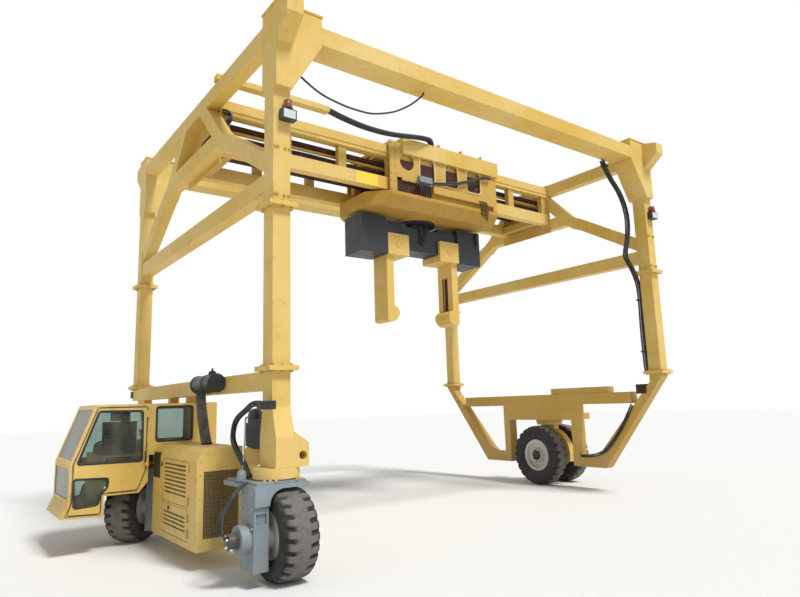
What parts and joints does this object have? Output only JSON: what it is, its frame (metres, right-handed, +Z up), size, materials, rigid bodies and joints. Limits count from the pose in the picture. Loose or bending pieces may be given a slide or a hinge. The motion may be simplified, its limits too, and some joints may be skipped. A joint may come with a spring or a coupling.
{
  "type": "straddle carrier",
  "caption": "Three-point straddle carrier: portal frame on steered wheels with a cab, an engine pod and a travelling, turning grab on a cross bridge.",
  "frame": {"origin": "on the ground, under the middle of the whole machine's box", "axes": "+X forward along the machine, +Y to its left where the cab stands, +Z up"},
  "size_m": [6.165, 9.282, 6.1675],
  "materials": {
    "yellow_paint": "faded cream-yellow paint with dirt and rust at edges",
    "cab_glass": "flat tinted safety glass",
    "seat_black": "black ribbed seat cover",
    "black_paint": "dull black paint",
    "bare_steel": "dull dusty steel",
    "grey_paint": "scuffed blue-grey paint",
    "rim_paint": "dusty off-white paint",
    "tyre_rubber": "worn dusty rubber",
    "grab_paint": "faded cream-yellow paint, chipped",
    "hose_rubber": "black hose rubber"
  },
  "bodies": {
    "frame": {"leg_rear_left": "yellow_paint", "leg_front_left": "yellow_paint", "leg_front_right": "yellow_paint", "leg_rear_right": "yellow_paint", "cross_beam_rear": "yellow_paint", "cross_beam_front": "yellow_paint", "side_truss_left": "yellow_paint", "side_truss_right": "yellow_paint", "foot_rear_left": "yellow_paint", "lower_frame_left": "yellow_paint", "lower_frame_right": "yellow_paint", "bridge_chords": "yellow_paint", "bridge_posts": "yellow_paint", "bridge_ends": "yellow_paint", "hose_rail": "yellow_paint", "cab_shell": "yellow_paint", "pod_body": "yellow_paint", "cab_glass": "cab_glass", "driver_seat": "seat_black", "pod_grilles": "black_paint", "air_cleaner": "black_paint", "work_lamps": "black_paint", "valve_box": "black_paint", "engine_block": "bare_steel", "intake_pipe": "bare_steel", "main_hose": "hose_rubber", "slung_hose": "hose_rubber"},
    "cab_door": {"cab_door": "yellow_paint", "cab_door_glass": "cab_glass"},
    "pod_door_upper": {"pod_door_upper": "yellow_paint"},
    "pod_door_lower": {"pod_door_lower": "yellow_paint"},
    "fork_rear_left": {"fork_rear_left": "grey_paint"},
    "wheel_rear_left": {"rim_rear_left": "rim_paint", "tyre_rear_left": "tyre_rubber"},
    "fork_front_left": {"fork_front_left": "grey_paint"},
    "wheel_front_left": {"rim_front_left": "rim_paint", "tyre_front_left": "tyre_rubber"},
    "twin_yoke": {"twin_yoke": "yellow_paint"},
    "twin_wheels": {"twin_rims": "rim_paint", "twin_tyres": "tyre_rubber"},
    "trolley": {"trolley_cover": "yellow_paint", "trolley_sides": "yellow_paint", "trolley_deck": "yellow_paint"},
    "grab": {"grab_beam": "black_paint"},
    "grab_arm_left": {"grab_arm_left": "grab_paint", "grab_box_left": "black_paint"},
    "grab_arm_right": {"grab_arm_right": "grab_paint", "grab_box_right": "black_paint"}
  },
  "joints": [
    {"name": "cab_door_hinge", "type": "hinge", "parent": "frame", "child": "cab_door", "pos_m": [-0.1695, 3.701, 1.325], "axis": [0, 0, 1], "range_deg": [0, 90]},
    {"name": "pod_door_upper_hinge", "type": "hinge", "parent": "frame", "child": "pod_door_upper", "pos_m": [-1.5135, 3.644, 0.85], "axis": [0, 0, 1], "range_deg": [0, 110]},
    {"name": "pod_door_lower_hinge", "type": "hinge", "parent": "frame", "child": "pod_door_lower", "pos_m": [-1.5135, 3.644, 0.425], "axis": [0, 0, 1], "range_deg": [0, 110]},
    {"name": "steer_rear_left", "type": "hinge", "parent": "frame", "child": "fork_rear_left", "pos_m": [-2.5775, 3.109, 0.965], "axis": [0, 0, 1], "range_deg": [-110, 110]},
    {"name": "roll_rear_left", "type": "hinge", "parent": "fork_rear_left", "child": "wheel_rear_left", "pos_m": [-2.6475, 3.059, 0.435], "axis": [0, 1, 0], "continuous": true},
    {"name": "steer_front_left", "type": "hinge", "parent": "frame", "child": "fork_front_left", "pos_m": [0.3925, 3.649, 0.965], "axis": [0, 0, 1], "range_deg": [-150, 60]},
    {"name": "roll_front_left", "type": "hinge", "parent": "fork_front_left", "child": "wheel_front_left", "pos_m": [0.42786, 3.68436, 0.435], "axis": [-0.7071, -0.7071, 0], "continuous": true},
    {"name": "steer_twin", "type": "hinge", "parent": "frame", "child": "twin_yoke", "pos_m": [0.0325, -4.151, 1.19], "axis": [0, 0, 1], "range_deg": [-95, 95]},
    {"name": "roll_twin", "type": "hinge", "parent": "twin_yoke", "child": "twin_wheels", "pos_m": [0.0325, -4.151, 0.565], "axis": [0, 1, 0], "continuous": true},
    {"name": "trolley_travel", "type": "slide", "parent": "frame", "child": "trolley", "axis": [0, 1, 0], "range_m": [-1.25, 2.1], "deforming": ["main_hose"]},
    {"name": "grab_turn", "type": "hinge", "parent": "trolley", "child": "grab", "pos_m": [0.0325, -0.851, 4.79], "axis": [0, 0, 1], "range_deg": [-100, 100]},
    {"name": "grab_arm_left_slide", "type": "slide", "parent": "grab", "child": "grab_arm_left", "axis": [0, 1, 0], "range_m": [-0.2, 0.3]},
    {"name": "grab_arm_right_slide", "type": "slide", "parent": "grab", "child": "grab_arm_right", "axis": [0, -1, 0], "range_m": [-0.2, 0.3]}
  ],
  "couplings": [
    {"joint": "grab_arm_right_slide", "follows": "grab_arm_left_slide", "ratio": 1}
  ]
}
